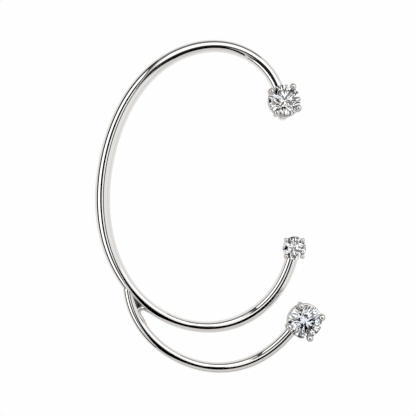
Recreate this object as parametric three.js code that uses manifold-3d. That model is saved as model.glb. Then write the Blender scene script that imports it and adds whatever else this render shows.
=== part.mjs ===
// Ear cuff: an open oval wire hoop with a second wire branching off its lower back, and three round
// brilliant stones, each in a four-claw setting soldered on a wire's free end.
// Millimetres. The cuff lies on its side: X to the right, Y up the ear, +Z the way the stones face.
import * as THREE from "three";
import { mergeVertices } from "three/addons/utils/BufferGeometryUtils.js";
import { ConvexGeometry } from "three/addons/geometries/ConvexGeometry.js";
import Module from "manifold-3d";

const wasm = await Module();
wasm.setup();

// Hoop wire
const hoopWidth = 35.2;
const hoopHeight = 44.9;
const hoopWire = 1.9;
const topTipBearing = 45.6;
const lowerTipBearing = 326.1;
const topEndRise = 1.85;
const lowerEndRise = 0.5;

// Branch wire, and the place on the hoop where it splits off
const branchRadius = 14.16;
const branchWire = 1.7;
const splitBearing = 229.5;
const branchTipBearing = 340.4;
const branchEndRise = 1.15;

// Web between the two wires, recessed below their tops, with a rounded rim at the crotch
const webThickness = 0.8;
const webLength = 4.2;
const rimReach = 5.6;
const rimWire = 1.1;

// Stones with the round wires of their settings, and where they sit on their own wire. In degrees,
// a setting leans off the wire's top to its outer side, and is turned round its own axis.
const topStone = {
  diameter: 5.0, bead: 1.05, claw: 0.76, rail: 0.55, base: 0.8, bearing: 49.5, lean: -1, turn: 7,
};
const middleStone = {
  diameter: 3.6, bead: 0.76, claw: 0.54, rail: 0.38, base: 0.6, bearing: 323.5, lean: -9, turn: 10.5,
};
const bottomStone = {
  diameter: 5.4, bead: 1.15, claw: 0.8, rail: 0.6, base: 0.85, bearing: 336.8, lean: 4, turn: 4,
};

// Brilliant cut, as shares of a stone's diameter
const tableShare = 0.56;
const crownShare = 0.16;
const girdleShare = 0.03;
const pavilionShare = 0.43;
const starShare = 0.5;
const lowerHalfShare = 0.22;
const mainFacets = 8;

// Settings: the gaps round a stone, how far a bead sits above the girdle as a share of the bead,
// and shares of the stone's radius for the rails and the claws' bend
const claws = 4;
const culetGap = 0.2;
const stoneClearance = 0.12;
const clawOutset = 0.14;
const beadLiftShare = 0.25;
const railShare = 0.93;
const railDropShare = 0.36;
const baseShare = 0.5;
const shoulderShare = 0.93;
const shoulderDropShare = 0.55;
const baseSink = 0.1;

// Facets of the faceted solids
const wireSides = 16;
const stepLength = 1.2;
const domeRings = 3;
const clawSides = 8;
const clawSteps = 5;
const beadSides = 10;
const beadRings = 6;
const railSides = 20;
const railSectionSides = 6;
const webSteps = 6;
const weldDistance = 1e-5;

// Each row is a section of the hoop, at a bearing seen from the oval's centre, in degrees.
// Reach is a share of the oval's radius at that bearing, thickness a share of the wire.
const hoopSections = [
  { bearing: 45, reach: 0.803, thickness: 0.96 },
  { bearing: 52, reach: 0.879, thickness: 0.975 },
  { bearing: 62, reach: 0.955, thickness: 0.995 },
  { bearing: 78, reach: 0.9995, thickness: 1.01 },
  { bearing: 98, reach: 0.9915, thickness: 1.08 },
  { bearing: 122, reach: 0.9745, thickness: 1.18 },
  { bearing: 150, reach: 0.966, thickness: 1.255 },
  { bearing: 180, reach: 0.9885, thickness: 1.265 },
  { bearing: 210, reach: 1.0245, thickness: 1.195 },
  { bearing: 236, reach: 1.032, thickness: 0.98 },
  { bearing: 262, reach: 1.0105, thickness: 0.93 },
  { bearing: 286, reach: 0.988, thickness: 1.06 },
  { bearing: 304, reach: 0.9475, thickness: 1.08 },
  { bearing: 318, reach: 0.892, thickness: 1.09 },
  { bearing: 328, reach: 0.851, thickness: 1.05 },
];

// The same for the branch, round its own centre. Reach is a share of the branch's radius.
const branchSections = [
  { bearing: 183, reach: 0.971, thickness: 1.06 },
  { bearing: 200, reach: 0.97, thickness: 1.04 },
  { bearing: 222, reach: 0.964, thickness: 0.985 },
  { bearing: 246, reach: 0.9675, thickness: 0.953 },
  { bearing: 270, reach: 0.993, thickness: 1.005 },
  { bearing: 294, reach: 1.0175, thickness: 1.075 },
  { bearing: 316, reach: 1.0335, thickness: 1.08 },
  { bearing: 332, reach: 1.0585, thickness: 1.1 },
  { bearing: 344, reach: 1.098, thickness: 1.1 },
];

// Bearings at which each free end starts to rise off the surface
const topRiseBearing = 98;
const lowerRiseBearing = 286;
const branchRiseBearing = 270;

// Materials
const whiteGold = { color: 0xe2ded9, roughness: 0.08, metalness: 1.0 };
const diamond = { color: 0xf4f7fb, roughness: 0.02, metalness: 0.0 };

const up = new THREE.Vector3(0, 0, 1);

// Smooth curve through a table's column: a natural cubic spline of that column over the bearing
function columnSpline(rows, column) {
  const knots = rows.map((row) => row.bearing);
  const values = rows.map((row) => row[column]);
  const last = knots.length - 1;
  const widths = knots.slice(1).map((knot, i) => knot - knots[i]);
  const slopes = widths.map((width, i) => (values[i + 1] - values[i]) / width);
  const bends = new Array(last + 1).fill(0);
  const ratios = new Array(last + 1).fill(0);
  for (let i = 1; i < last; i += 1) {
    const pivot = 2 * (widths[i - 1] + widths[i]) - widths[i - 1] * ratios[i - 1];
    ratios[i] = widths[i] / pivot;
    bends[i] = (6 * (slopes[i] - slopes[i - 1]) - widths[i - 1] * bends[i - 1]) / pivot;
  }
  for (let i = last - 1; i > 0; i -= 1) {
    bends[i] -= ratios[i] * bends[i + 1];
  }
  return (bearing) => {
    let i = 0;
    while (i < last - 1 && bearing > knots[i + 1]) i += 1;
    const b = (bearing - knots[i]) / widths[i];
    const a = 1 - b;
    const bend = ((a ** 3 - a) * bends[i] + (b ** 3 - b) * bends[i + 1]) * (widths[i] ** 2 / 6);
    return a * values[i] + b * values[i + 1] + bend;
  };
}

function direction(bearing) {
  const angle = THREE.MathUtils.degToRad(bearing);
  return new THREE.Vector3(Math.cos(angle), Math.sin(angle), 0);
}

// How far a free end has risen at a bearing: a parabola from where it starts to its tip
function rise(bearing, start, tip, height) {
  const share = Math.max(0, (bearing - start) / (tip - start));
  return height * share ** 2;
}

// A wire is its centre point and its radius at each bearing. Its underside lies on z = 0.
const hoopReach = columnSpline(hoopSections, "reach");
const hoopThickness = columnSpline(hoopSections, "thickness");
const branchReach = columnSpline(branchSections, "reach");
const branchThickness = columnSpline(branchSections, "thickness");

function hoop(bearing) {
  const way = direction(bearing);
  const oval = 1 / Math.hypot((2 * way.x) / hoopWidth, (2 * way.y) / hoopHeight);
  const centre = way.multiplyScalar(oval * hoopReach(bearing));
  const radius = (hoopWire * hoopThickness(bearing)) / 2;
  const lift = rise(bearing, topRiseBearing, topTipBearing, topEndRise)
    + rise(bearing, lowerRiseBearing, lowerTipBearing, lowerEndRise);
  centre.z = radius + lift;
  return { centre, radius };
}

const branchStart = branchSections[0].bearing;
const branchCentre = hoop(splitBearing).centre
  .addScaledVector(direction(branchStart), -branchRadius * branchReach(branchStart));

function branch(bearing) {
  const centre = direction(bearing).multiplyScalar(branchRadius * branchReach(bearing));
  const radius = (branchWire * branchThickness(bearing)) / 2;
  centre.x += branchCentre.x;
  centre.y += branchCentre.y;
  centre.z = radius + rise(bearing, branchRiseBearing, branchTipBearing, branchEndRise);
  return { centre, radius };
}

// Unit tangent of a wire, the way its bearing grows
function tangent(wire, bearing) {
  const reachOut = 0.05;
  return wire(bearing + reachOut).centre.sub(wire(bearing - reachOut).centre).normalize();
}

function solid(geometry) {
  const bare = geometry.index ? geometry.toNonIndexed() : geometry;
  bare.deleteAttribute("normal");
  bare.deleteAttribute("uv");
  const merged = mergeVertices(bare, weldDistance);
  return new wasm.Manifold(new wasm.Mesh({
    numProp: 3,
    vertProperties: new Float32Array(merged.attributes.position.array),
    triVerts: new Uint32Array(merged.index.array),
  }));
}

function geometryOf(manifold) {
  const mesh = manifold.getMesh();
  const geometry = new THREE.BufferGeometry();
  geometry.setAttribute("position", new THREE.BufferAttribute(mesh.vertProperties, 3));
  geometry.setIndex(new THREE.BufferAttribute(mesh.triVerts, 1));
  geometry.computeVertexNormals();
  return geometry;
}

function join(manifolds) {
  return manifolds.reduce((whole, piece) => whole.add(piece));
}

function wireLength(wire, from, to) {
  const degrees = Math.ceil(to - from);
  const points = Array.from({ length: degrees + 1 }, (_, degree) => wire(from + degree).centre);
  return points.slice(1).reduce((length, point, i) => length + point.distanceTo(points[i]), 0);
}

// A round wire of changing thickness, closed at both ends by half a ball
function wireSolid(wire, from, to) {
  const rings = [];
  const addRing = (bearing, along, radius) => {
    const forward = tangent(wire, bearing);
    const side = new THREE.Vector3().crossVectors(up, forward).normalize();
    const over = new THREE.Vector3().crossVectors(forward, side);
    const centre = wire(bearing).centre.addScaledVector(forward, along);
    rings.push({ centre, side, over, radius });
  };
  const steps = Math.round(wireLength(wire, from, to) / stepLength);
  for (let ring = 0; ring < domeRings; ring += 1) {
    const angle = (Math.PI / 2) * (1 - ring / domeRings);
    const radius = wire(from).radius;
    addRing(from, -radius * Math.sin(angle), radius * Math.cos(angle));
  }
  for (let step = 0; step <= steps; step += 1) {
    const bearing = THREE.MathUtils.lerp(from, to, step / steps);
    addRing(bearing, 0, wire(bearing).radius);
  }
  for (let ring = 1; ring <= domeRings; ring += 1) {
    const angle = (Math.PI / 2) * (ring / domeRings);
    const radius = wire(to).radius;
    addRing(to, radius * Math.sin(angle), radius * Math.cos(angle));
  }
  return solid(loft(rings, wireSides));
}

// Skin over round rings. The first and the last ring have shrunk to a point.
function loft(rings, sides) {
  const positions = [];
  const corner = (ring, side) => {
    const angle = (2 * Math.PI * side) / sides;
    const { centre, side: across, over, radius } = rings[ring];
    return centre.clone()
      .addScaledVector(across, radius * Math.cos(angle))
      .addScaledVector(over, radius * Math.sin(angle));
  };
  const triangle = (...corners) => corners.forEach((point) => positions.push(...point));
  const last = rings.length - 1;
  for (let ring = 0; ring < last; ring += 1) {
    for (let side = 0; side < sides; side += 1) {
      const next = (side + 1) % sides;
      const near = corner(ring, side);
      const nearNext = corner(ring, next);
      const far = corner(ring + 1, side);
      const farNext = corner(ring + 1, next);
      if (ring > 0) triangle(near, nearNext, farNext);
      if (ring < last - 1) triangle(near, farNext, far);
    }
  }
  const geometry = new THREE.BufferGeometry();
  geometry.setAttribute("position", new THREE.Float32BufferAttribute(positions, 3));
  return geometry;
}

// A round wire of one thickness along a curve
function roundWire(curve, diameter, sides, steps) {
  const section = new THREE.Shape(new THREE.EllipseCurve(0, 0, diameter / 2, diameter / 2).getPoints(sides));
  return new THREE.ExtrudeGeometry(section, { steps, extrudePath: curve, bevelEnabled: false });
}

// Bearing at which a wire's centre is a given distance from the split, past its start
function bearingAway(wire, start, distance) {
  const split = hoop(splitBearing).centre;
  const step = 0.02;
  let bearing = start;
  while (wire(bearing).centre.distanceTo(split) < distance) bearing += step;
  return bearing;
}

// Web in the fork of the two wires: a plate between their centres, with a round rim at its open end
function web() {
  const hoopEnd = bearingAway(hoop, splitBearing, rimReach);
  const branchEnd = bearingAway(branch, branchStart, rimReach);
  const split = hoop(splitBearing).centre;
  const rimStart = hoop(hoopEnd).centre;
  const rimFinish = branch(branchEnd).centre;
  const between = rimStart.clone().add(rimFinish).multiplyScalar(0.5);
  const crotch = between.clone().sub(split).setLength(webLength).add(split);
  const control = crotch.clone().multiplyScalar(2).sub(between);
  const rim = new THREE.QuadraticBezierCurve3(rimStart, control, rimFinish);
  const outline = [
    ...alongWire(hoop, splitBearing, hoopEnd),
    ...rim.getPoints(webSteps).slice(1),
    ...alongWire(branch, branchEnd, branchStart).slice(1, -1),
  ];
  const plate = new THREE.ExtrudeGeometry(
    new THREE.Shape(outline.map((point) => new THREE.Vector2(point.x, point.y))),
    { depth: webThickness, bevelEnabled: false },
  );
  plate.translate(0, 0, crotch.z - webThickness / 2);
  return solid(plate).add(solid(roundWire(rim, rimWire, clawSides, webSteps)));
}

function alongWire(wire, from, to) {
  const points = [];
  for (let step = 0; step <= webSteps; step += 1) {
    points.push(wire(THREE.MathUtils.lerp(from, to, step / webSteps)).centre);
  }
  return points;
}

// Round brilliant with its girdle's middle at the origin and its table facing +Z.
// The clearance grows it all round.
function brilliant(diameter, clearance = 0) {
  const radius = diameter / 2 + clearance;
  const grown = 2 * radius;
  const girdle = (girdleShare * grown) / 2;
  const table = tableShare * radius;
  const crown = crownShare * grown;
  const pavilion = pavilionShare * grown;
  const halfStep = Math.PI / mainFacets;
  const narrowing = Math.cos(halfStep);
  const crownSlope = crown / (radius - table);
  const pavilionSlope = pavilion / radius;
  const star = THREE.MathUtils.lerp(table * narrowing, radius, starShare);
  const lowerHalf = lowerHalfShare * radius;
  const points = [new THREE.Vector3(0, 0, -girdle - pavilion)];
  const addPoint = (angle, reach, height) => {
    points.push(new THREE.Vector3(reach * Math.cos(angle), reach * Math.sin(angle), height));
  };
  for (let facet = 0; facet < mainFacets; facet += 1) {
    const main = 2 * halfStep * facet;
    const between = main + halfStep;
    addPoint(main, table, girdle + crown);
    addPoint(between, star, girdle + (radius - star * narrowing) * crownSlope);
    addPoint(between, lowerHalf, -girdle - (radius - lowerHalf * narrowing) * pavilionSlope);
    for (const edge of [girdle, -girdle]) {
      addPoint(main, radius, edge);
      addPoint(between, radius, edge);
    }
  }
  return new ConvexGeometry(points);
}

// Place of a setting: on its wire's centre, with one axis along the wire and one square to it, facing
// up, then leaned about the wire and turned about its own axis
function seat(wire, stone) {
  const { centre, radius } = wire(stone.bearing);
  const forward = tangent(wire, stone.bearing);
  const side = new THREE.Vector3().crossVectors(up, forward).normalize();
  const girdleHeight = radius + culetGap + (pavilionShare + girdleShare / 2) * stone.diameter;
  const axes = new THREE.Matrix4()
    .makeBasis(forward, side, new THREE.Vector3().crossVectors(forward, side))
    .multiply(new THREE.Matrix4().makeRotationX(THREE.MathUtils.degToRad(stone.lean)))
    .multiply(new THREE.Matrix4().makeRotationZ(THREE.MathUtils.degToRad(stone.turn)));
  const over = new THREE.Vector3().setFromMatrixColumn(axes, 2);
  return { centre, radius, over, girdleHeight, axes };
}

// Four claws on a base ring and a rail under the girdle, each claw ending in a round bead.
// It is drawn with the wire's centre at the origin, then moved to its seat.
function settingSolid(wire, stone) {
  const place = seat(wire, stone);
  const { girdleHeight } = place;
  const stoneRadius = stone.diameter / 2;
  const baseHeight = place.radius - baseSink;
  const beadHeight = girdleHeight + (girdleShare * stone.diameter) / 2 + stone.bead * beadLiftShare;
  const pieces = [
    ring(baseShare * stoneRadius, stone.base, baseHeight),
    ring(railShare * stoneRadius, stone.rail, girdleHeight - railDropShare * stoneRadius),
  ];
  for (let claw = 0; claw < claws; claw += 1) {
    const way = direction((360 / claws) * (claw + 0.5));
    const at = (reach, height) => way.clone().multiplyScalar(reach).setZ(height);
    const shoulder = girdleHeight - shoulderDropShare * stoneRadius;
    const tip = at(stoneRadius, beadHeight);
    const path = new THREE.CatmullRomCurve3([
      at(baseShare * stoneRadius, baseHeight),
      at(shoulderShare * stoneRadius, shoulder),
      at(stoneRadius + clawOutset, girdleHeight),
      tip,
    ]);
    const bead = new THREE.SphereGeometry(stone.bead / 2, beadSides, beadRings);
    bead.translate(...tip);
    pieces.push(roundWire(path, stone.claw, clawSides, clawSteps), bead);
  }
  const place3d = place.axes.clone().setPosition(place.centre);
  return join(pieces.map((piece) => solid(piece.applyMatrix4(place3d))));
}

function ring(radius, diameter, height) {
  return new THREE.TorusGeometry(radius, diameter / 2, railSectionSides, railSides).translate(0, 0, height);
}

function stoneSpace(wire, stone) {
  const place = seat(wire, stone);
  const space = brilliant(stone.diameter, stoneClearance).translate(0, 0, place.girdleHeight);
  return solid(space.applyMatrix4(place.axes.setPosition(place.centre)));
}

function stoneMesh(name, wire, stone) {
  const place = seat(wire, stone);
  const mesh = new THREE.Mesh(brilliant(stone.diameter), new THREE.MeshStandardMaterial(diamond));
  mesh.name = name;
  mesh.position.copy(place.centre).addScaledVector(place.over, place.girdleHeight);
  mesh.setRotationFromMatrix(place.axes);
  return mesh;
}

// All the metal is soldered, so it is one solid: both wires, the web and the three settings
function frameMesh() {
  const metal = join([
    wireSolid(hoop, topTipBearing, lowerTipBearing),
    wireSolid(branch, branchStart, branchTipBearing),
    web(),
    settingSolid(hoop, topStone),
    settingSolid(hoop, middleStone),
    settingSolid(branch, bottomStone),
  ]);
  const spaces = join([
    stoneSpace(hoop, topStone),
    stoneSpace(hoop, middleStone),
    stoneSpace(branch, bottomStone),
  ]);
  const mesh = new THREE.Mesh(
    geometryOf(metal.subtract(spaces)),
    new THREE.MeshStandardMaterial(whiteGold),
  );
  mesh.name = "cuff_frame";
  return mesh;
}

const cuff = new THREE.Group();
cuff.add(
  frameMesh(),
  stoneMesh("stone_top", hoop, topStone),
  stoneMesh("stone_middle", hoop, middleStone),
  stoneMesh("stone_bottom", branch, bottomStone),
);

// The origin is below the middle of the whole cuff, on the surface that it lies on
cuff.updateMatrixWorld(true);
const extent = new THREE.Box3().setFromObject(cuff, true);
const middle = extent.getCenter(new THREE.Vector3());
cuff.position.set(-middle.x, -middle.y, -extent.min.z);

export default cuff;
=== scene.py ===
import math

import bmesh
import bpy
import numpy as np
from mathutils import Matrix, Vector


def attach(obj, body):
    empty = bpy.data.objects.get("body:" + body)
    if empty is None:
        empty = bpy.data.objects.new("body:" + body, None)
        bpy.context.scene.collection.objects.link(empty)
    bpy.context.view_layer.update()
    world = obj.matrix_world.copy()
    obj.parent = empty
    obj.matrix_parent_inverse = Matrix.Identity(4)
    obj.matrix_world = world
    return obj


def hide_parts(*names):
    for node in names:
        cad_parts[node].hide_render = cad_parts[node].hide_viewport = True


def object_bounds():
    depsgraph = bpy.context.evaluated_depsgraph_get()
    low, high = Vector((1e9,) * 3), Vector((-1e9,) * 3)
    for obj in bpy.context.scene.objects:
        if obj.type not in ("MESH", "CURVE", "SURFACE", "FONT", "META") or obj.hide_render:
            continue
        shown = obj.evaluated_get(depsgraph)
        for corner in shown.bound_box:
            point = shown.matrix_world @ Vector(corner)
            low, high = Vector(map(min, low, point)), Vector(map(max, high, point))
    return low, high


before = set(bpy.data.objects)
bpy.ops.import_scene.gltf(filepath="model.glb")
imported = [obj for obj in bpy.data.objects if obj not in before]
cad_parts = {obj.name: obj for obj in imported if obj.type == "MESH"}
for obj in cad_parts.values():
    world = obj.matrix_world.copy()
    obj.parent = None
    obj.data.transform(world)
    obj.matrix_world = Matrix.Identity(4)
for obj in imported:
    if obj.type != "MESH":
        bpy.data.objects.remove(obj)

bl_info = {
    "name": "Ear cuff",
    "version": (1, 0, 0),
    "blender": (4, 5, 0),
    "location": "3D View > Sidebar > Ear cuff",
    "description": "Builds an open ear cuff with claw-set brilliants, and a studio to show it in",
    "category": "Object",
}

MM = 0.001
ROOT = "root"
CAD_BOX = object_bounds()

# Sections of the hoop by bearing from the oval's centre, in degrees. Reach is a share of the oval's
# radius at that bearing, thickness a share of the wire.
HOOP_SECTIONS = {
    "bearing": (45, 52, 62, 78, 98, 122, 150, 180, 210, 236, 262, 286, 304, 318, 328),
    "reach": (0.803, 0.879, 0.955, 0.9995, 0.9915, 0.9745, 0.966, 0.9885, 1.0245, 1.032, 1.0105, 0.988,
              0.9475, 0.892, 0.851),
    "thickness": (0.96, 0.975, 0.995, 1.01, 1.08, 1.18, 1.255, 1.265, 1.195, 0.98, 0.93, 1.06, 1.08, 1.09,
                  1.05),
}
# The same for the branch, by bearing from its own centre
BRANCH_SECTIONS = {
    "bearing": (183, 200, 222, 246, 270, 294, 316, 332, 344),
    "reach": (0.971, 0.97, 0.964, 0.9675, 0.993, 1.0175, 1.0335, 1.0585, 1.098),
    "thickness": (1.06, 1.04, 0.985, 0.953, 1.005, 1.075, 1.08, 1.1, 1.1),
}


def length(name, description, default):
    """A length in metres, shown in the scene's unit."""
    return bpy.props.FloatProperty(name=name, description=description, default=default, min=0.0,
                                   unit="LENGTH", precision=5)


def bearing(name, description, default):
    """An angle, given here in degrees and stored in radians."""
    return bpy.props.FloatProperty(name=name, description=description, default=math.radians(default),
                                   subtype="ANGLE")


def share(name, description, default):
    """A plain ratio."""
    return bpy.props.FloatProperty(name=name, description=description, default=default, subtype="FACTOR")


def colour(name, description, default):
    """A linear colour."""
    return bpy.props.FloatVectorProperty(name=name, description=description, default=default, size=3,
                                         min=0.0, max=1.0, subtype="COLOR")


class CuffWireSizes(bpy.types.PropertyGroup):
    """The two wires and how their free ends rise off the surface."""
    hoop_width: length("Hoop width", "Width of the oval that the hoop's centre follows", 35.2 * MM)
    hoop_height: length("Hoop height", "Height of the oval that the hoop's centre follows", 44.9 * MM)
    hoop_wire: length("Hoop wire", "Diameter of the hoop's wire at its top", 1.9 * MM)
    top_tip: bearing("Top tip", "Bearing of the hoop's upper end", 45.6)
    lower_tip: bearing("Lower tip", "Bearing of the hoop's lower end", 326.1)
    top_rise: length("Top rise", "Height of the hoop's upper end above the surface", 1.85 * MM)
    lower_rise: length("Lower rise", "Height of the hoop's lower end above the surface", 0.5 * MM)
    top_rise_start: bearing("Top rise start", "Bearing where the upper end starts to rise", 98)
    lower_rise_start: bearing("Lower rise start", "Bearing where the lower end starts to rise", 286)
    branch_radius: length("Branch radius", "Radius that the branch's centre follows", 14.16 * MM)
    branch_wire: length("Branch wire", "Diameter of the branch's wire", 1.7 * MM)
    split: bearing("Split", "Bearing on the hoop where the branch leaves it", 229.5)
    branch_tip: bearing("Branch tip", "Bearing of the branch's end", 340.4)
    branch_rise: length("Branch rise", "Height of the branch's end above the surface", 1.15 * MM)
    branch_rise_start: bearing("Branch rise start", "Bearing where the branch starts to rise", 270)


class CuffWebSizes(bpy.types.PropertyGroup):
    """The web in the fork of the wires."""
    thickness: length("Web thickness", "Thickness of the web between the wires", 0.8 * MM)
    length: length("Web length", "Distance from the split to the middle of the rim", 4.25 * MM)
    rim: length("Rim", "Thickness of the rounded rim at the web's open end", 0.78 * MM)
    rim_lift: length("Rim lift", "Height of the rim's centre above the wires' centres", 0.34 * MM)
    hoop_reach: length("Rim reach on hoop", "Distance from the split to the rim's end in the hoop", 6.2 * MM)
    branch_reach: length("Rim reach on branch", "Distance from the split to its end in the branch", 9.0 * MM)
    # Where the painted shade of the fork's valley and of the rim's crease lies, and how far it reaches
    valley_shade_start: share("Valley start", "Where the dark of the valley starts, as a share of the way", 0.28)
    valley_shade_end: share("Valley end", "Where the dark of the valley ends", 0.8)
    valley_shade_lift: length("Valley lift", "Height of the darkest line above the wires' centres", 0.2 * MM)
    valley_shade_reach: length("Valley reach", "How far the dark of the valley reaches", 0.9 * MM)
    crease_shade_reach: length("Crease reach", "How far the dark of the rim's crease reaches", 0.42 * MM)


class CuffSettingSizes(bpy.types.PropertyGroup):
    """What the three settings have in common."""
    culet_gap: length("Culet gap", "Gap between a stone's point and its wire", 0.2 * MM)
    seat_gap: length("Seat gap", "Gap between a stone and the notch cut for it in its claws", 0.015 * MM)
    claw_outset: length("Claw outset", "How far a claw's centre passes outside the girdle", 0.14 * MM)
    base_sink: length("Base sink", "How deep the base ring's centre lies below the wire's top", 0.1 * MM)
    bead_lift: share("Bead lift", "Height of a bead's centre above the girdle, as a share of the bead", 0.25)
    rail_radius: share("Rail radius", "Radius of the rail as a share of the stone's", 0.93)
    rail_drop: share("Rail drop", "Depth of the rail below the girdle as a share of the stone's radius", 0.36)
    base_radius: share("Base radius", "Radius of the base ring as a share of the stone's", 0.5)
    shoulder_radius: share("Shoulder radius", "Radius at a claw's shoulder as a share of the stone's", 0.93)
    shoulder_drop: share("Shoulder drop", "Depth of the shoulder as a share of the stone's radius", 0.55)


class CuffCut(bpy.types.PropertyGroup):
    """The round brilliant cut, as shares of a stone's diameter or radius."""
    table: share("Table", "Table's diameter", 0.56)
    crown: share("Crown", "Crown's height", 0.155)
    girdle: share("Girdle", "Girdle's height", 0.03)
    pavilion: share("Pavilion", "Pavilion's depth", 0.43)
    star: share("Star", "Reach of the star facets from the table's edge to the girdle", 0.5)
    lower_half: share("Lower halves", "Radius at which the lower half facets end", 0.22)


class CuffFinish(bpy.types.PropertyGroup):
    """Colours of the metal and the stones."""
    metal: colour("Metal", "Polished white gold", (0.88, 0.862, 0.84))
    metal_shade: colour("Metal shade", "White gold where the polish is duller", (0.80, 0.775, 0.745))
    # Painted shade: near black, blended into the gold in the fork's valley, the rim's crease and round each
    # joint
    recess: colour("Recess", "White gold down in a fork or a joint", (0.05, 0.045, 0.04))
    # Painted shade that the rims of claws, beads and wires blend to where they turn away from the eye
    rim_painted_shade: colour("Claw shade", "The rims of claws and beads", (0.34, 0.31, 0.285))
    stone: colour("Stone", "Clear facets", (1.0, 1.0, 1.0))
    # Painted flashes of fire: blue and amber tints given to some facets at random
    stone_cool: colour("Stone, cool", "Facets that flash blue", (0.78, 0.87, 1.0))
    stone_warm: colour("Stone, warm", "Facets that flash amber", (1.0, 0.85, 0.70))


class CuffStageSizes(bpy.types.PropertyGroup):
    """The camera over the cuff, and the photograph's scale."""
    camera_distance: length("Camera distance", "From the camera to the cuff", 200 * MM)
    camera_yaw: bearing("Camera yaw", "How far the camera stands to the cuff's left", 6.0)
    photo_pixel: length("Photo pixel", "Width of one photograph pixel at the cuff", 0.16 * MM)


# Places in the photograph, in its own 416 pixel frame
PHOTO_SIZE = 416
PHOTO_OVAL_CENTRE = (212.0, 186.2)

# Each stone: its wire, its place and tilt there in degrees, its diameter, and the diameters of the
# round wires of its setting
STONES = (
    {"name": "top", "wire": "hoop", "bearing": 49.5, "lean": -1.0, "turn": 7.0, "diameter": 5.0 * MM,
     "bead": 1.05 * MM, "claw": 0.76 * MM, "rail": 0.55 * MM, "base": 0.8 * MM},
    {"name": "middle", "wire": "hoop", "bearing": 323.5, "lean": -9.0, "turn": 10.5, "diameter": 3.6 * MM,
     "bead": 0.76 * MM, "claw": 0.54 * MM, "rail": 0.38 * MM, "base": 0.6 * MM},
    {"name": "bottom", "wire": "branch", "bearing": 336.8, "lean": 4.0, "turn": 4.0, "diameter": 5.4 * MM,
     "bead": 1.15 * MM, "claw": 0.8 * MM, "rail": 0.6 * MM, "base": 0.85 * MM},
)
CLAWS = 4

# Sections of the rim's line, from the branch's inner shoulder to the hoop's lower one. Away is a share
# of the rim's reach on that wire, shift the way to the fork as a share of the wire's radius, and lift a
# share of the rim's.
RIM_SECTIONS = (
    {"wire": "branch", "away": 1.0, "shift": 0.0, "lift": -0.6},
    {"wire": "branch", "away": 0.82, "shift": 0.4, "lift": 0.55},
    {"wire": "branch", "away": 0.66, "shift": 0.62, "lift": 1.0},
    {"wire": "branch", "away": 0.53, "shift": 0.64, "lift": 1.0},
    {"wire": "hoop", "away": 0.76, "shift": 0.62, "lift": 0.9},
    {"wire": "hoop", "away": 0.88, "shift": 0.5, "lift": 0.3},
    {"wire": "hoop", "away": 1.0, "shift": 0.2, "lift": -0.4},
)
RIM_TAPER = 0.12
# The web's thickness at its middle, what is added towards its edges, and how fast it opens
WEB_MIDDLE = 0.7
WEB_EDGE = 0.5
WEB_OPENING = 6
# How a claw's rings crowd to its tip, how it thins there, and how softly it swells to the bead
CLAW_CROWDING = 1.4
CLAW_THINNING = 0.35
CLAW_SWELL = 0.06


def round_corners(east, north, radius, count=24):
    """Corners of a card that looks round from the cuff."""
    turn = 2 * np.pi * np.arange(count) / count
    return np.stack([east + radius * np.cos(turn), north + radius * np.sin(turn)], -1)


# The studio's cards over the cuff: a name, a brightness, a height and the corners, by the angles in
# degrees east and north of straight up at which the cuff sees them. These show in the metal.
METAL_CARDS = (
    ("light_bank_north", 1.5, 312 * MM,
     ((-16, 34), (-20, 56), (14, 61), (40, 52), (52, 30), (50, 14), (35, 9), (26, 25), (16, 27), (2, 27))),
    ("light_bank_west", 1.5, 312 * MM,
     ((-22, 38), (-32, 54), (-48, 50), (-60, 38), (-68, 22), (-70, 2), (-68, -20), (-56, -36), (-40, -44),
      (-34, -34), (-39, -22), (-40, 4), (-37, 20), (-31, 28))),
    ("light_over_camera", 1.1, 316 * MM,
     ((-20, -12), (-18, 8), (-14, 22), (2, 27), (14, 22), (14, 2), (8, -7), (-4, -12))),
    ("east_wall", 0.9, 314 * MM,
     ((18, -14), (60, -44), (80, -10), (80, 14), (66, 45), (48, 40), (26, 24), (16, 8))),
    ("north_west_gap", 0.1, 310 * MM, ((-22, 32), (-19, 31), (-27, 50), (-33, 66), (-42, 62), (-35, 52))),
    ("camera_grip", 0.0, 298 * MM, ((4, 0), (6, 5), (10, 6), (15, 3), (15, -6), (6, -6))),
    ("camera_strap", 0.06, 298 * MM, ((1, -8), (6, -8), (7, 17), (2, 17))),
    ("camera_side", 0.0, 296 * MM,
     ((-42, 6), (-38, 22), (-28, 32), (-17, 34), (-9, 18), (-13, 13), (-15, 5), (-15, -8), (-13, -17),
      (-27, -32), (-39, -12))),
    ("camera_below", 0.0, 292 * MM,
     ((6, 4), (23, -7), (30, -31), (20, -38), (6, -40), (-6, -41), (-14, -48), (-26, -58), (-32, -56),
      (-25, -39), (-14, -21), (0, -9))),
)
# This one hangs close over the top of the hoop
NEAR_CARDS = (
    ("shade_over_top", 0.02, 25 * MM, ((-22, 40), (-20, 50), (22, 50), (22, 38))),
)
# These show in the stones only
STONE_CARDS = (
    ("over_camera", 0.0, 288 * MM, round_corners(-6, 0, 10)),
    ("stone_light", 1.35, 292 * MM, round_corners(0, 0, 78)),
)
# Dark fins in a ring over the cuff draw the spokes in the stones: how many, the share of the turn that
# they take, two tilts in degrees and their height
FIN_COUNT = 24
FIN_SHARE = 0.5
FIN_TILTS = (5, 76)
FIN_HEIGHT = 280 * MM
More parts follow.
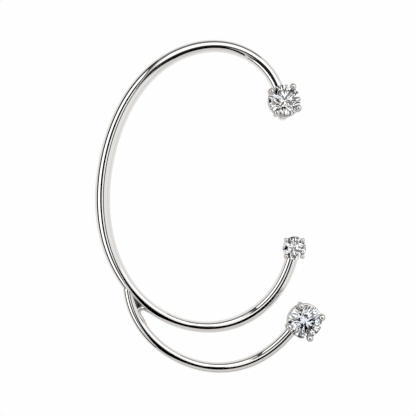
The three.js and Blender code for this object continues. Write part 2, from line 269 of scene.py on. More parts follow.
# Low dark walls round the table, seen past the edge of the round floor: a name, a brightness, two
# bearings in degrees, and the heights of their foot and top
WALLS = (
    ("west_wall", 0.0, (118, 238), (-100 * MM, 150 * MM)),
    ("north_wall", 0.16, (55, 118), (-100 * MM, 225 * MM)),
    ("south_wall", 0.25, (238, 330), (-100 * MM, 0.0)),
)
WALL_RADIUS = 500 * MM
FLOOR_RADIUS = 31 * MM
FLOOR_BRIGHTNESS = 0.93
BACKDROP_REACH = 800 * MM
BACKDROP_BRIGHTNESS = 0.992
TENT_COLOUR = (0.74, 0.73, 0.72, 1.0)
WHITE = (1.0, 1.0, 1.0)
# In millimetres, as a camera's data holds it
SENSOR_WIDTH = 36.0

# How much of the painted rim shade each gold takes on where it turns away from the eye
EDGE_PAINTED_SHADES = {"wire_gold": 0.2, "fork_gold": 1.8, "claw_gold": 1.0}
# The gold's noises, as features to the metre and detail
HAZE_NOISE = (420.0, 3.0)
MARKS_NOISE = (9000.0, 1.0)
RIPPLE_NOISE = (650.0, 1.0)
# What they and the recess do to the tone, the roughness and the relief; the recess's tone is painted shade
HAZE_TONE = 0.35
RECESS_SHADE_TONE = 0.9
POLISH_ROUGHNESS = 0.012
HAZE_ROUGHNESS = 0.03
MARKS_ROUGHNESS = 0.02
RECESS_ROUGHNESS = 0.08
MARKS_RELIEF = 0.05
BUMP_STRENGTH = 0.12
BUMP_DISTANCE = 0.02 * MM
# How far the painted shade round each setting's joint reaches
JOINT_SHADE_REACH = 1.6 * MM

# The stone: its refraction, the shares of the draw that stay clear, and the seed of the draw
DIAMOND_IOR = 2.417
CLEAR_FROM = 0.3
CLEAR_TO = 0.78
FLASH_SEED = 3
# The cut: its main facets, the girdle's steps in each half of a sector, how much of a seat's gap the
# girdle takes, and the distance and the angle in degrees below which corners and facets are one
MAIN_FACETS = 8
SECTOR = 360 / MAIN_FACETS
GIRDLE_STEPS = 8
GIRDLE_GROWTH = 0.3
SAME_POINT = 1e-8
SAME_PLANE = 0.4
SHARP_EDGE = 38

# Fineness of the surfaces
SECTION_SIDES = 40
THIN_SIDES = 28
WIRE_STEP = 0.16 * MM
DOME_RINGS = 14
CLAW_STEPS = 72
RIM_STEPS = 160
WEB_SIDES = 64
WEB_RINGS = 40
VALLEY_STEPS = 24
CREASE_STRIDE = 2
FLOOR_SIDES = 96
# Stations for a wire's outer edge and its length, and those of a search with its span in degrees
EDGE_STATIONS = 2000
LENGTH_STATIONS = 400
SEARCH_STATIONS = 3000
SEARCH_SPAN = 60


def natural_spline(knots, values):
    """Natural cubic spline: a cubic on each span, with matching slope and bend at the inner knots and
    no bend at the two ends. The bends solve one linear system."""
    knots = np.asarray(knots, float)
    values = np.asarray(values, float)
    widths = np.diff(knots)
    slopes = np.diff(values) / widths
    system = np.eye(len(knots))
    inner = np.arange(1, len(knots) - 1)
    system[inner, inner - 1] = widths[:-1]
    system[inner, inner] = 2 * (widths[:-1] + widths[1:])
    system[inner, inner + 1] = widths[1:]
    bends = np.linalg.solve(system, np.r_[0, 6 * np.diff(slopes), 0])

    def curve(at):
        at = np.asarray(at, float)
        span = np.clip(np.searchsorted(knots, at) - 1, 0, len(widths) - 1)
        width = widths[span]
        b = (at - knots[span]) / width
        a = 1 - b
        bend = ((a**3 - a) * bends[span] + (b**3 - b) * bends[span + 1]) * width**2 / 6
        return a * values[span] + b * values[span + 1] + bend

    return curve


def unit(vectors):
    """Each vector divided by its own length."""
    return vectors / np.linalg.norm(vectors, axis=-1, keepdims=True)


class Wire:
    """A round wire: its centre and its radius at any bearing.

    The centre is a polar curve, the base radius at that bearing times the reach column. Its height is
    the wire's own radius plus the rise, so that the underside lies on the surface."""

    def __init__(self, sections, diameter, base_radius, rises, start, tip):
        self.reach = natural_spline(sections["bearing"], sections["reach"])
        self.thickness = natural_spline(sections["bearing"], sections["thickness"])
        self.diameter = diameter
        self.base_radius = base_radius
        self.rises = rises
        self.start = start
        self.tip = tip
        self.origin = np.zeros(3)

    def radius(self, at):
        return self.diameter * self.thickness(at) / 2

    def centre(self, at):
        """Polar curve in the plane, lifted by the radius and by each rise, a parabola in the bearing."""
        at = np.asarray(at, float)
        angle = np.radians(at)
        reach = self.base_radius(angle) * self.reach(at)
        height = self.radius(at)
        for start, tip, rise in self.rises:
            height = height + rise * np.clip((at - start) / (tip - start), 0, None) ** 2
        flat = np.stack([reach * np.cos(angle), reach * np.sin(angle), height], -1)
        return flat + self.origin

    def axes(self, at):
        """Unit vectors along the wire, across it in the plane, and up from it."""
        step = 0.02
        forward = unit(self.centre(np.asarray(at) + step) - self.centre(np.asarray(at) - step))
        side = unit(np.cross((0.0, 0.0, 1.0), forward))
        return forward, side, np.cross(forward, side)


def make_wires(sizes):
    """The hoop and the branch. The cuff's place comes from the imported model's box: the hoop's left
    edge and its top edge are that box's."""
    half_width = sizes.hoop_width / 2
    half_height = sizes.hoop_height / 2
    hoop = Wire(
        HOOP_SECTIONS,
        sizes.hoop_wire,
        lambda angle: 1 / np.hypot(np.cos(angle) / half_width, np.sin(angle) / half_height),
        [
            (math.degrees(sizes.top_rise_start), math.degrees(sizes.top_tip), sizes.top_rise),
            (math.degrees(sizes.lower_rise_start), math.degrees(sizes.lower_tip), sizes.lower_rise),
        ],
        math.degrees(sizes.top_tip),
        math.degrees(sizes.lower_tip),
    )
    all_round = np.linspace(hoop.start, hoop.tip, EDGE_STATIONS)
    centres = hoop.centre(all_round)
    radii = hoop.radius(all_round)
    low, high = CAD_BOX
    hoop.origin = np.array([
        low.x - (centres[:, 0] - radii).min(),
        high.y - (centres[:, 1] + radii).max(),
        0.0,
    ])
    branch_start = BRANCH_SECTIONS["bearing"][0]
    branch = Wire(
        BRANCH_SECTIONS,
        sizes.branch_wire,
        lambda angle: np.full(np.shape(angle), sizes.branch_radius),
        [(math.degrees(sizes.branch_rise_start), math.degrees(sizes.branch_tip), sizes.branch_rise)],
        branch_start,
        math.degrees(sizes.branch_tip),
    )
    split = hoop.centre(math.degrees(sizes.split))
    branch.origin = (split - branch.centre(branch_start)) * (1, 1, 0)
    return {"hoop": hoop, "branch": branch}


def tube(centres, radii, side, over, sides=SECTION_SIDES):
    """Skin round a path: point (i, j) is centre i plus its radius times the cosine of angle j along
    side and the sine along over. The first and last rings are shrunk to one pole each."""
    turn = np.linspace(0, 2 * np.pi, sides, endpoint=False)
    ring = np.cos(turn)[None, :, None] * side[:, None] + np.sin(turn)[None, :, None] * over[:, None]
    points = centres[:, None] + radii[:, None, None] * ring
    count = len(points) - 2
    body = points[1:-1].reshape(-1, 3)
    vertices = np.vstack([body, centres[:1], centres[-1:]])
    row = np.arange(count - 1)[:, None] * sides
    column = np.arange(sides)[None]
    after = (column + 1) % sides
    quads = np.stack([row + column, row + after, row + sides + after, row + sides + column], -1)
    last = (count - 1) * sides
    start_pole = len(body)
    first_fan = np.stack([np.full(sides, start_pole), after[0], column[0]], -1)
    last_fan = np.stack([last + column[0], last + after[0], np.full(sides, start_pole + 1)], -1)
    return vertices, [*quads.reshape(-1, 4).tolist(), *first_fan.tolist(), *last_fan.tolist()]


def ring(radius, thickness, height, around=96, sides=24):
    """Torus: at angle a round the ring and b round its section, the point lies out by the radius plus
    half the thickness times cos b, and up by the height plus half the thickness times sin b."""
    a = np.linspace(0, 2 * np.pi, around, endpoint=False)[:, None]
    b = np.linspace(0, 2 * np.pi, sides, endpoint=False)[None]
    out = radius + thickness / 2 * np.cos(b)
    rise = height + thickness / 2 * np.sin(b) + 0 * a
    points = np.stack([out * np.cos(a), out * np.sin(a), rise], -1)
    row = np.arange(around)[:, None]
    column = np.arange(sides)[None]
    next_row = (row + 1) % around
    after = (column + 1) % sides
    quads = np.stack([
        row * sides + column, next_row * sides + column, next_row * sides + after, row * sides + after,
    ], -1)
    return points.reshape(-1, 3), quads.reshape(-1, 4).tolist()


def join(surfaces):
    """One list of vertices and faces from several closed surfaces."""
    vertices = []
    faces = []
    count = 0
    for points, polygons in surfaces:
        vertices.append(points)
        faces += [[count + corner for corner in polygon] for polygon in polygons]
        count += len(points)
    return np.vstack(vertices), faces


def new_object(name, surface):
    """A mesh object from a surface's vertices and faces, linked to the scene."""
    vertices, faces = surface
    mesh = bpy.data.meshes.new(name)
    mesh.from_pydata(vertices.tolist(), [], faces)
    made = bpy.data.objects.new(name, mesh)
    bpy.context.scene.collection.objects.link(made)
    return made


def make_piece(name, surface, material, smooth=True):
    """A mesh object that rides on the cuff, with its place in its mesh."""
    piece = new_object(name, surface)
    piece.data.update()
    if smooth:
        piece.data.shade_smooth()
    else:
        piece.data.shade_flat()
    piece.data.materials.append(material)
    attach(piece, ROOT)
    return piece


def wire_surface(wire):
    """A wire's skin: rings square to its path, and half a ball at each end, whose rings move out by
    the radius times the sine of an angle and shrink to the radius times its cosine."""
    walk = wire.centre(np.linspace(wire.start, wire.tip, LENGTH_STATIONS))
    run = np.linalg.norm(np.diff(walk, axis=0), axis=1).sum()
    stations = np.linspace(wire.start, wire.tip, int(run / WIRE_STEP))
    angle = np.linspace(0, np.pi / 2, DOME_RINGS + 1)[1:]
    at = np.r_[np.full(DOME_RINGS, wire.start), stations, np.full(DOME_RINGS, wire.tip)]
    out = np.r_[-np.sin(angle[::-1]), np.zeros(len(stations)), np.sin(angle)]
    shrink = np.r_[np.cos(angle[::-1]), np.ones(len(stations)), np.cos(angle)]
    forward, side, over = wire.axes(at)
    radius = wire.radius(at)
    centres = wire.centre(at) + forward * (radius * out)[:, None]
    return tube(centres, radius * shrink, side, over)


def bearing_away(wire, start, split, distance):
    """Bearing at which the wire's centre is a given distance from the split, past its start."""
    at = np.linspace(start, start + SEARCH_SPAN, SEARCH_STATIONS)
    away = np.linalg.norm((wire.centre(at) - split)[:, :2], axis=1)
    return at[np.argmax(away > distance)]


def rim_path(wires, sizes, count):
    """The rim's centre line: a spline that leaves the branch's inner shoulder, turns round the crotch
    and sinks in the hoop's lower shoulder. With it come a mask of its points in the fork between the
    wires, and the split."""
    split_bearing = math.degrees(sizes.wires.split)
    split = wires["hoop"].centre(split_bearing)
    web = sizes.web
    sides = {
        "branch": {"start": wires["branch"].start, "reach": web.branch_reach, "inward": 1},
        "hoop": {"start": split_bearing, "reach": web.hoop_reach, "inward": -1},
    }
    points = []
    for row in RIM_SECTIONS:
        wire = wires[row["wire"]]
        side = sides[row["wire"]]
        at = bearing_away(wire, side["start"], split, side["reach"] * row["away"])
        inward = wire.axes(at)[1] * side["inward"]
        up = (0, 0, row["lift"] * web.rim_lift)
        points.append(wire.centre(at) + inward * wire.radius(at) * row["shift"] + up)
    turn = sum(row["wire"] == "branch" for row in RIM_SECTIONS)
    between = (points[turn - 1] + points[turn]) / 2
    crotch = split + unit(between - split) * web.length
    crotch[2] = between[2]
    points.insert(turn, crotch)
    points = np.array(points)
    chord = np.r_[0, np.linalg.norm(np.diff(points, axis=0), axis=1).cumsum()]
    at = np.linspace(0, chord[-1], count)
    path = np.stack([natural_spline(chord, points[:, axis])(at) for axis in range(3)], -1)
    return path, (at > chord[turn - 1]) & (at < chord[turn + 1]), split


def rim_surface(path, thickness):
    """A round bead along the rim's path, tapering to nothing at both ends by the square root of the
    distance from the end, as a drop of solder does."""
    step = np.gradient(path, axis=0)
    forward = unit(step)
    side = unit(np.cross((0.0, 0.0, 1.0), forward))
    over = np.cross(forward, side)
    along = np.linspace(0, 1, len(path))
    taper = np.clip(np.minimum(along, 1 - along) / RIM_TAPER, 0, 1) ** 0.5
    return tube(path, thickness / 2 * taper, side, over, THIN_SIDES)


def web_surface(path, split, thickness):
    """A fan from the split to the rim: at share u of the way and angle w round the section, the point
    is the split plus u times the way to the rim at (1 - cos w) / 2 across, and half the thickness
    times a flattened sine of w up, hollowed in the middle."""
    turn = np.linspace(0, 2 * np.pi, WEB_SIDES, endpoint=False)
    across = (1 - np.cos(turn)) / 2 * (len(path) - 1)
    low = np.clip(across.astype(int), 0, len(path) - 2)
    rim = path[low] + (path[low + 1] - path[low]) * (across - low)[:, None]
    rim[:, 2] = split[2]
    sine = np.sin(turn)
    profile = WEB_MIDDLE + WEB_EDGE * np.cos(turn) ** 2
    height = thickness / 2 * np.sign(sine) * np.abs(sine) ** 0.5 * profile
    u = np.linspace(0, 1, WEB_RINGS)
    rings = split + u[:, None, None] * (rim - split)[None]
    rings[..., 2] += height[None] * np.minimum(1, u * WEB_OPENING)[:, None]
    points = np.vstack([rings[1:].reshape(-1, 3), split[None], rim.mean(0)[None]])
    sides = len(turn)
    row = np.arange(len(u) - 2)[:, None] * sides
    column = np.arange(sides)[None]
    after = (column + 1) % sides
    quads = np.stack([row + column, row + sides + column, row + sides + after, row + after], -1)
    last = (len(u) - 2) * sides
    pole = len(points) - 2
    first_fan = np.stack([np.full(sides, pole), column[0], after[0]], -1)
    last_fan = np.stack([last + after[0], last + column[0], np.full(sides, pole + 1)], -1)
    return points, [*quads.reshape(-1, 4).tolist(), *first_fan.tolist(), *last_fan.tolist()]


def claw_surface(stone, seat, sizes, azimuth):
    """A claw: a round wire along a spline in the upright plane at its azimuth, from the base ring out
    to the shoulder, up past the girdle and in over the crown, swelling to a ball. Near the tip its
    radius is that of a ball, the root of the ball's radius squared less the distance squared."""
    radius = stone["diameter"] / 2
    bead = stone["bead"] / 2
    girdle = seat["girdle"]
    flat = np.array([
        (sizes.base_radius * radius, seat["base"]),
        (sizes.shoulder_radius * radius, girdle - sizes.shoulder_drop * radius),
        (radius + sizes.claw_outset, girdle),
        (radius, girdle + seat["half_girdle"] + stone["bead"] * sizes.bead_lift),
    ])
    chord = np.r_[0, np.linalg.norm(np.diff(flat, axis=0), axis=1).cumsum()]
    out = natural_spline(chord, flat[:, 0])
    height = natural_spline(chord, flat[:, 1])
    at = chord[-1] * (1 - (1 - np.linspace(0, 1, CLAW_STEPS)) ** CLAW_CROWDING)
    slope = unit(np.stack([np.gradient(out(at), at), np.gradient(height(at), at)], -1))
    left = chord[-1] - at
    leg = stone["claw"] / 2 * np.clip(left / bead, 0, 1) ** CLAW_THINNING
    ball = np.sqrt(np.clip(bead**2 - left**2, 0, None))
    swell = CLAW_SWELL * bead
    section = (leg + ball + np.sqrt((leg - ball) ** 2 + swell**2) - swell) / 2
    cap = np.linspace(0, np.pi / 2, DOME_RINGS + 1)[1:]
    plane = np.stack([out(at), height(at)], -1)
    plane = np.vstack([plane[:1], plane, plane[-1] + slope[-1] * (bead * np.sin(cap))[:, None]])
    section = np.r_[0, section, bead * np.cos(cap)]
    slope = np.vstack([slope[:1], slope, np.repeat(slope[-1:], len(cap), 0)])
    way = np.array([math.cos(azimuth), math.sin(azimuth), 0.0])
    across = np.array([-math.sin(azimuth), math.cos(azimuth), 0.0])
    up = np.array([0.0, 0.0, 1.0])
    centres = plane[:, :1] * way + plane[:, 1:] * up
    forward = slope[:, :1] * way + slope[:, 1:] * up
    side = np.broadcast_to(across, forward.shape)
    return tube(centres, section, side, np.cross(forward, side), THIN_SIDES)


def seat_of(stone, wires, sizes, cut):
    """Where a setting sits: the wire's centre under it, its axes, leaned about the wire and turned
    about the setting's own axis, and heights above that centre."""
    wire = wires[stone["wire"]]
    radius = float(wire.radius(stone["bearing"]))
    lean = np.array(Matrix.Rotation(math.radians(stone["lean"]), 3, "X"))
    turn = np.array(Matrix.Rotation(math.radians(stone["turn"]), 3, "Z"))
    return {
        "turn": (lean @ turn).T @ np.stack(wire.axes(stone["bearing"])),
        "centre": wire.centre(stone["bearing"]),
        "base": radius - sizes.base_sink,
        "half_girdle": cut.girdle / 2 * stone["diameter"],
        "girdle": radius + sizes.culet_gap + (cut.pavilion + cut.girdle / 2) * stone["diameter"],
    }


def seated(surface, seat):
    """Moves a surface from its own upright axes to its seat on the wire."""
    points, faces = surface
    return points @ seat["turn"] + seat["centre"], faces


def brilliant(diameter, cut, height, grown=0.0):
    """A round brilliant as the hull of its corners. Its facets are planes: each main facet falls from
    the table's corner to the girdle, and where a half facet meets the round girdle the edge is the
    plane's height at that radius, so it is scalloped. The middle of the girdle is at the height."""
    radius = diameter / 2 + grown
    girdle = cut.girdle * diameter / 2 + grown * GIRDLE_GROWTH
    table = cut.table * radius
    crown = cut.crown * 2 * radius
    pavilion = cut.pavilion * 2 * radius
    half_sector = np.radians(SECTOR / 2)
    mains = np.radians(SECTOR * np.arange(MAIN_FACETS))
    halves = mains + half_sector
    narrow = math.cos(half_sector)
    star = table * narrow + (radius - table * narrow) * cut.star
    lower = radius * cut.lower_half
    star_height = (radius - star * narrow) * crown / (radius - table)
    lower_depth = (radius - lower * narrow) * pavilion / radius

    def around(angles, reach, level):
        level = np.broadcast_to(level, np.shape(angles))
        return np.stack([reach * np.cos(angles), reach * np.sin(angles), level], -1)

    def scallop(reach, level):
        """Angles in half a sector, and there the height at the girdle of the half facet's plane."""
        angles = half_sector * np.linspace(0, 1, GIRDLE_STEPS, endpoint=False)
        corner = around(np.array([0.0, half_sector]), radius, 0.0)
        tip = around(half_sector, reach, level)
        normal = np.cross(corner[1] - corner[0], tip - corner[0])
        edge = around(angles, radius, 0.0)
        return angles, -((edge - corner[0])[:, :2] @ normal[:2]) / normal[2]

    angles, top_dip = scallop(star, star_height)
    _, low_dip = scallop(lower, -lower_depth)
    sectors = np.radians(SECTOR) * np.arange(MAIN_FACETS)[:, None]
    girdle_turn = np.concatenate([sectors + angles, sectors + np.radians(SECTOR) - angles], 1).ravel()
    top = np.tile(girdle + np.r_[top_dip, top_dip], MAIN_FACETS)
    low = np.tile(-girdle + np.r_[low_dip, low_dip], MAIN_FACETS)
    corners = np.vstack([
        around(mains, table, girdle + crown),
        around(halves, star, girdle + star_height),
        around(girdle_turn, radius, top),
        around(girdle_turn, radius, low),
        around(halves, lower, -girdle - lower_depth),
        [[0.0, 0.0, -girdle - pavilion]],
    ])
    corners[:, 2] += height
    shape = bmesh.new()
    for corner in corners:
        shape.verts.new(corner)
    bmesh.ops.remove_doubles(shape, verts=shape.verts, dist=SAME_POINT)
    bmesh.ops.convex_hull(shape, input=shape.verts)
    flat = math.radians(SAME_PLANE)
    bmesh.ops.dissolve_limit(shape, angle_limit=flat, verts=shape.verts, edges=shape.edges)
    bmesh.ops.recalc_face_normals(shape, faces=shape.faces)
    points = np.array([vertex.co for vertex in shape.verts])
    faces = [[vertex.index for vertex in face.verts] for face in shape.faces]
    shape.free()
    return points, faces


def cut_seat(piece, surface):
    """Cuts a stone's space out of a setting, and joins the setting's own wires into one solid."""
    cutter = new_object("seat", surface)
    carve = piece.modifiers.new("Seat", "BOOLEAN")
    carve.operation = "DIFFERENCE"
    carve.solver = "EXACT"
    carve.use_self = True
    carve.object = cutter
    evaluated = piece.evaluated_get(bpy.context.evaluated_depsgraph_get())
    carved = bpy.data.meshes.new_from_object(evaluated)
    piece.modifiers.clear()
    old = piece.data
    piece.data = carved
    carved.name = piece.name
    bpy.data.meshes.remove(old)
    space = cutter.data
    bpy.data.objects.remove(cutter)
    bpy.data.meshes.remove(space)
    carved.shade_smooth()
    carved.set_sharp_from_angle(angle=math.radians(SHARP_EDGE))


class Val:
    """A shader socket that can be added and multiplied, each step a Math node."""

    def __init__(self, maker, socket):
        self.maker = maker
        self.socket = socket

    def _math(self, operation, first, second):
        made = self.maker.node("ShaderNodeMath", {"operation": operation}, {0: first, 1: second})
        return Val(self.maker, made.outputs[0])

    def __add__(self, other):
        return self._math("ADD", self, other)

    __radd__ = __add__

    def __mul__(self, other):
        return self._math("MULTIPLY", self, other)

    __rmul__ = __mul__


class Maker:
    """Builds one material's nodes."""

    def __init__(self, name):
        self.material = bpy.data.materials.new(name)
        self.material.use_nodes = True
        self.tree = self.material.node_tree
        self.shader = self.tree.nodes["Principled BSDF"]

    def node(self, kind, settings=None, inputs=None):
        """A node of any kind, with its settings and then its sockets' values or links."""
        made = self.tree.nodes.new(kind)
        for key, value in (settings or {}).items():
            if key == "stops":
                ramp = made.color_ramp
                while len(ramp.elements) < len(value):
                    ramp.elements.new(0.5)
                for element, (place, tone) in zip(ramp.elements, value):
                    element.position = place
                    element.color = (*tone, 1.0)
            else:
                setattr(made, key, value)
        for key, value in (inputs or {}).items():
            self.feed(made.inputs[key], value)
        return made

    def feed(self, socket, value):
        if isinstance(value, Val):
            self.tree.links.new(value.socket, socket)
        elif isinstance(value, bpy.types.NodeSocket):
            self.tree.links.new(value, socket)
        else:
            socket.default_value = value

    def noise(self, features, detail):
        """Noise on Object coordinates, with a given number of features to the metre."""
        place = self.node("ShaderNodeTexCoord").outputs["Object"]
        made = self.node("ShaderNodeTexNoise", {}, {"Vector": place, "Scale": features, "Detail": detail})
        return Val(self, made.outputs["Fac"])

    def attribute(self, name):
        made = self.node("ShaderNodeAttribute", {"attribute_name": name})
        return Val(self, made.outputs["Fac"])

    def blend(self, amount, first, second):
        made = self.node("ShaderNodeMix", {"data_type": "RGBA"}, {0: amount, 6: first, 7: second})
        return made.outputs[2]

    def set(self, **values):
        """Feeds the shader's own sockets, named with _ for a space."""
        for key, value in values.items():
            self.feed(self.shader.inputs[key.replace("_", " ")], value)


def polished_gold(finish, name, painted_edge_shade):
    """White gold under a rhodium shine: nearly even, with a soft haze from the polishing mop and hair
    fine marks in it, rougher in the recesses, where painted shade darkens it nearly to black. Turned
    away from the eye it blends to a painted rim shade, by the turn times the edge's share of painted shade."""
    maker = Maker(name)
    haze = maker.noise(*HAZE_NOISE)
    marks = maker.noise(*MARKS_NOISE)
    recess = maker.attribute("recess")
    metal = maker.blend(haze * HAZE_TONE, (*finish.metal, 1.0), (*finish.metal_shade, 1.0))
    # Painted shade: the recesses blend towards near black
    metal = maker.blend(recess * RECESS_SHADE_TONE, metal, (*finish.recess, 1.0))
    # Painted shade on the rims: the gold blends to the rim shade where it turns away from the eye
    away = Val(maker, maker.node("ShaderNodeLayerWeight", {}, {"Blend": 0.5}).outputs["Facing"])
    wear = haze * HAZE_ROUGHNESS + marks * MARKS_ROUGHNESS + recess * RECESS_ROUGHNESS
    maker.set(
        Base_Color=maker.blend(away * painted_edge_shade, metal, (*finish.rim_painted_shade, 1.0)),
        Metallic=1.0,
        Roughness=wear + POLISH_ROUGHNESS,
    )
    relief = maker.noise(*RIPPLE_NOISE) + marks * MARKS_RELIEF
    bump = maker.node("ShaderNodeBump", {}, {
        "Strength": BUMP_STRENGTH, "Distance": BUMP_DISTANCE, "Height": relief,
    })
    maker.set(Normal=bump.outputs["Normal"])
    return maker.material


def clear_stone(finish):
    """Diamond: clear, with its true refraction. Some facets, picked at random, are tinted a little
    blue or amber: painted flashes of fire, standing in for the way the stone splits light."""
    maker = Maker("clear_stone")
    flash = maker.attribute("flash")
    ramp = maker.node("ShaderNodeValToRGB", {"stops": (
        (0.0, finish.stone_cool), (CLEAR_FROM, finish.stone), (CLEAR_TO, finish.stone),
        (1.0, finish.stone_warm),
    )}, {0: flash})
    maker.set(Base_Color=ramp.outputs[0], Roughness=0.0, IOR=DIAMOND_IOR, Transmission_Weight=1.0)
    return maker.material


def glow(name, brightness):
    """A black studio surface that gives off an even white light."""
    maker = Maker(name)
    maker.set(
        Base_Color=(0.0, 0.0, 0.0, 1.0), Roughness=1.0, Specular_IOR_Level=0.0,
        Emission_Color=(*WHITE, 1.0), Emission_Strength=brightness,
    )
    return maker.material


def overhead(east, north, height):
    """Points at a height over the cuff, seen from it at angles east and north of straight up. Both
    angles make one tilt, their hypotenuse, and the point lies out by the height times its tangent."""
    east = np.asarray(east, float)
    north = np.asarray(north, float)
    tilt = np.maximum(np.hypot(east, north), 1e-6)
    out = height * np.tan(tilt) / tilt
    return np.stack([out * east, out * north, np.full(east.shape, height)], -1)


def card_surface(corners, height, count=20):
    """A flat card whose corners and edges are given in the two angles, each edge in even steps."""
    corners = np.radians(corners)
    share_of = np.linspace(0, 1, count, endpoint=False)[:, None]
    edges = corners[:, None] + (np.roll(corners, -1, axis=0) - corners)[:, None] * share_of
    points = overhead(*edges.reshape(-1, 2).T, height)
    return points, [list(range(len(points)))]


def fins_surface(count, share_of_turn, tilts, height, steps=6):
    """Even sectors of a flat ring between two tilts, each taking its share of the turn."""
    start = 2 * np.pi * np.arange(count)[:, None] / count
    turn = start + 2 * np.pi / count * share_of_turn * np.linspace(0, 1, steps)[None]
    inner, outer = np.radians(tilts)
    near = overhead(inner * np.cos(turn), inner * np.sin(turn), height)
    back = turn[:, ::-1]
    far = overhead(outer * np.cos(back), outer * np.sin(back), height)
    points = np.concatenate([near, far], 1).reshape(-1, 3)
    return points, np.arange(len(points)).reshape(count, -1).tolist()


def wall_surface(bearings, heights, radius, count=48):
    """A standing band: part of a cylinder round the cuff."""
    turn = np.radians(np.linspace(*bearings, count))
    points = np.vstack([
        np.stack([radius * np.cos(turn), radius * np.sin(turn), np.full(count, height)], -1)
        for height in heights
    ])
    column = np.arange(count - 1)
    quads = np.stack([column, column + 1, column + 1 + count, column + count], -1)
    return points, quads.tolist()


def make_card(name, surface, brightness, seen_in):
    """A studio surface, a light or a shade, that shows only in what is named: the view, the metal or
    the stones."""
    card = new_object(name, surface)
    card.data.materials.append(glow(name, brightness))
    card.visible_camera = "view" in seen_in
    card.visible_glossy = "metal" in seen_in
    card.visible_transmission = "stones" in seen_in
    card.visible_diffuse = False


def make_camera(target, stage):
    """A camera over the target, moved left of it by the yaw. Its lens gives the photograph's scale."""
    lens = bpy.data.cameras.new("camera")
    lens.sensor_width = SENSOR_WIDTH
    lens.lens = SENSOR_WIDTH * stage.camera_distance / (PHOTO_SIZE * stage.photo_pixel)
    lens.clip_start = 1 * MM
    camera = bpy.data.objects.new("camera", lens)
    bpy.context.scene.collection.objects.link(camera)
    way = Vector((-math.sin(stage.camera_yaw), 0.0, math.cos(stage.camera_yaw)))
    camera.location = target + way * stage.camera_distance
    camera.rotation_euler = Matrix.Rotation(-stage.camera_yaw, 4, "Y").to_euler()
    return camera


def recess_shade_marks(piece, recesses):
    """Writes how much painted shade each vertex takes, by how deep it lies in the recesses. Each has
    places and a reach: the depth is 1 at a place and falls to 0 at the reach by a smooth step. Where two
    overlap, the deeper counts."""
    mesh = piece.data
    points = np.empty(len(mesh.vertices) * 3, np.float32)
    mesh.vertices.foreach_get("co", points)
    depth = np.zeros(len(mesh.vertices))
    for places, reach in recesses:
        away = np.linalg.norm(points.reshape(-1, 1, 3) - np.array(places)[None], axis=2).min(1)
        near = np.clip(1 - away / reach, 0, 1)
        depth = np.maximum(depth, near * near * (3 - 2 * near))
    marks = mesh.attributes.new("recess", "FLOAT", "POINT")
    marks.data.foreach_set("value", depth.astype(np.float32))


def fork_recesses(path, fork, split, web):
    """The fork's two recesses, which take painted shade: its valley, from near the split to just short
    of the rim, and the crease on the rim's left, where it meets the wires."""
    crotch = path[fork].mean(0)
    along = np.linspace(web.valley_shade_start, web.valley_shade_end, VALLEY_STEPS)[:, None]
    valley = split + (crotch - split) * along
    valley[:, 2] = split[2] + web.valley_shade_lift
    left = unit(np.cross((0.0, 0.0, 1.0), np.gradient(path, axis=0)))
    crease = path + left * web.rim / 2
    return [(valley, web.valley_shade_reach), (crease[::CREASE_STRIDE], web.crease_shade_reach)]


class CuffSizes(bpy.types.PropertyGroup):
    """All the sizes of the cuff."""
    wires: bpy.props.PointerProperty(type=CuffWireSizes)
    web: bpy.props.PointerProperty(type=CuffWebSizes)
    setting: bpy.props.PointerProperty(type=CuffSettingSizes)
    cut: bpy.props.PointerProperty(type=CuffCut)
    finish: bpy.props.PointerProperty(type=CuffFinish)
    stage: bpy.props.PointerProperty(type=CuffStageSizes)


def cuff_of(context):
    """The cuff's sizes and its two wires."""
    sizes = context.scene.cuff
    return sizes, make_wires(sizes.wires)


def gold_of(finish, name):
    """The gold of this name, made when it is first asked for."""
    return bpy.data.materials.get(name) or polished_gold(finish, name, EDGE_PAINTED_SHADES[name])


class CUFF_OT_wires(bpy.types.Operator):
    """Build the hoop and the branch"""
    bl_idname = "cuff.wires"
    bl_label = "Wires"

    def execute(self, context):
        sizes, wires = cuff_of(context)
        recesses = fork_recesses(*rim_path(wires, sizes, RIM_STEPS), sizes.web)
        for name, wire in wires.items():
            gold = gold_of(sizes.finish, "wire_gold")
            piece = make_piece(f"{name}_wire", wire_surface(wire), gold)
            # Painted shade where the wires run into the fork
            recess_shade_marks(piece, recesses)
            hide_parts("cuff_frame")
        return {"FINISHED"}


class CUFF_OT_web(bpy.types.Operator):
    """Build the web and its rim in the fork of the wires"""
    bl_idname = "cuff.web"
    bl_label = "Web"

    def execute(self, context):
        sizes, wires = cuff_of(context)
        path, fork, split = rim_path(wires, sizes, RIM_STEPS)
        surface = join([
            rim_surface(path, sizes.web.rim),
            web_surface(path[fork], split, sizes.web.thickness),
        ])
        piece = make_piece("fork_web", surface, gold_of(sizes.finish, "fork_gold"))
        # Painted shade in the fork's valley and along the rim's crease
        recess_shade_marks(piece, fork_recesses(path, fork, split, sizes.web))
        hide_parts("cuff_frame")
        return {"FINISHED"}


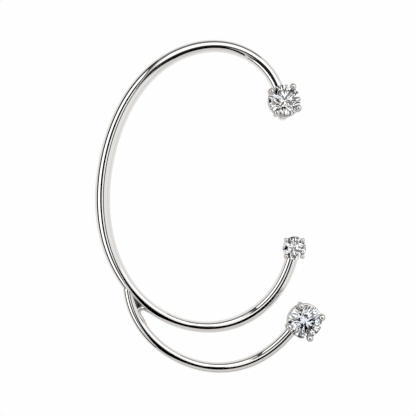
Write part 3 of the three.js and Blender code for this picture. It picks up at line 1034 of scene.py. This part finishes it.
class CUFF_OT_settings(bpy.types.Operator):
    """Build the three claw settings"""
    bl_idname = "cuff.settings"
    bl_label = "Settings"

    def execute(self, context):
        sizes, wires = cuff_of(context)
        for stone in STONES:
            seat = seat_of(stone, wires, sizes.setting, sizes.cut)
            radius = stone["diameter"] / 2
            rail_height = seat["girdle"] - sizes.setting.rail_drop * radius
            surfaces = [
                ring(sizes.setting.base_radius * radius, stone["base"], seat["base"]),
                ring(sizes.setting.rail_radius * radius, stone["rail"], rail_height),
            ]
            for claw in range(CLAWS):
                azimuth = math.radians(360 / CLAWS * (claw + 0.5))
                surfaces.append(claw_surface(stone, seat, sizes.setting, azimuth))
            name = f"setting_{stone['name']}"
            gold = gold_of(sizes.finish, "claw_gold")
            piece = make_piece(name, seated(join(surfaces), seat), gold)
            space = brilliant(stone["diameter"], sizes.cut, seat["girdle"], sizes.setting.seat_gap)
            cut_seat(piece, seated(space, seat))
            # Painted shade round the joint of the setting and its wire
            recess_shade_marks(piece, [([seat["centre"]], JOINT_SHADE_REACH)])
            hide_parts("cuff_frame")
        return {"FINISHED"}


class CUFF_OT_stones(bpy.types.Operator):
    """Cut and set the three brilliants"""
    bl_idname = "cuff.stones"
    bl_label = "Stones"

    def execute(self, context):
        sizes, wires = cuff_of(context)
        material = clear_stone(sizes.finish)
        draw = np.random.default_rng(FLASH_SEED)
        for stone in STONES:
            seat = seat_of(stone, wires, sizes.setting, sizes.cut)
            surface = brilliant(stone["diameter"], sizes.cut, seat["girdle"])
            name = f"brilliant_{stone['name']}"
            piece = make_piece(name, seated(surface, seat), material, smooth=False)
            # Painted fire: a random draw per facet picks its painted blue or amber flash
            flash = piece.data.attributes.new("flash", "FLOAT", "FACE")
            flash.data.foreach_set("value", draw.random(len(piece.data.polygons)).astype(np.float32))
            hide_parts(f"stone_{stone['name']}")
        return {"FINISHED"}


class CUFF_OT_stage(bpy.types.Operator):
    """Build the floor, the walls, the cards and the camera"""
    bl_idname = "cuff.stage"
    bl_label = "Studio"

    def execute(self, context):
        scene = context.scene
        sizes, wires = cuff_of(context)
        stage = sizes.stage
        sheet = np.array([(-1, -1, 0), (1, -1, 0), (1, 1, 0), (-1, 1, 0)]) * BACKDROP_REACH
        make_card("backdrop", (sheet, [[0, 1, 2, 3]]), BACKDROP_BRIGHTNESS, {"view"})
        turn = np.linspace(0, 2 * np.pi, FLOOR_SIDES, endpoint=False)
        floor = np.stack([np.cos(turn), np.sin(turn), 0 * turn], -1) * FLOOR_RADIUS
        make_card("table", (floor, [list(range(FLOOR_SIDES))]), FLOOR_BRIGHTNESS, {"metal", "stones"})
        for name, brightness, bearings, heights in WALLS:
            make_card(name, wall_surface(bearings, heights, WALL_RADIUS), brightness, {"metal"})
        for name, brightness, height, corners in METAL_CARDS + NEAR_CARDS:
            make_card(name, card_surface(corners, height), brightness, {"metal"})
        for name, brightness, height, corners in STONE_CARDS:
            make_card(name, card_surface(corners, height), brightness, {"stones"})
        fins = fins_surface(FIN_COUNT, FIN_SHARE, FIN_TILTS, FIN_HEIGHT)
        make_card("stone_fins", fins, 0.0, {"stones"})

        world = bpy.data.worlds.new("tent_walls")
        scene.world = world
        world.use_nodes = True
        back = world.node_tree.nodes["Background"]
        back.inputs["Color"].default_value = TENT_COLOUR
        back.inputs["Strength"].default_value = 1.0

        middle = PHOTO_SIZE / 2
        oval = wires["hoop"].origin
        target = Vector((
            oval[0] + (middle - PHOTO_OVAL_CENTRE[0]) * stage.photo_pixel,
            oval[1] + (PHOTO_OVAL_CENTRE[1] - middle) * stage.photo_pixel,
            sizes.wires.hoop_wire / 2,
        ))
        scene.camera = make_camera(target, stage)
        scene.view_settings.view_transform = "Standard"
        return {"FINISHED"}


class CUFF_PT_panel(bpy.types.Panel):
    """Lists the steps and the main sizes"""
    bl_label = "Ear cuff"
    bl_idname = "CUFF_PT_panel"
    bl_space_type = "VIEW_3D"
    bl_region_type = "UI"
    bl_category = "Ear cuff"

    def draw(self, context):
        for operator in OPERATORS:
            self.layout.operator(operator.bl_idname)
        sizes = context.scene.cuff
        for group in (sizes.wires, sizes.web, sizes.setting, sizes.cut, sizes.finish, sizes.stage):
            box = self.layout.box()
            for name in group.__annotations__:
                box.prop(group, name)


OPERATORS = (CUFF_OT_wires, CUFF_OT_web, CUFF_OT_settings, CUFF_OT_stones, CUFF_OT_stage)
CLASSES = (
    CuffWireSizes, CuffWebSizes, CuffSettingSizes, CuffCut, CuffFinish, CuffStageSizes, CuffSizes,
    *OPERATORS, CUFF_PT_panel,
)


def register():
    for made in CLASSES:
        bpy.utils.register_class(made)
    bpy.types.Scene.cuff = bpy.props.PointerProperty(type=CuffSizes)


def unregister():
    del bpy.types.Scene.cuff
    for made in reversed(CLASSES):
        bpy.utils.unregister_class(made)


def main():
    register()
    bpy.ops.cuff.wires()
    bpy.ops.cuff.web()
    bpy.ops.cuff.settings()
    bpy.ops.cuff.stones()
    bpy.ops.cuff.stage()


if __name__ == "__main__":
    main()
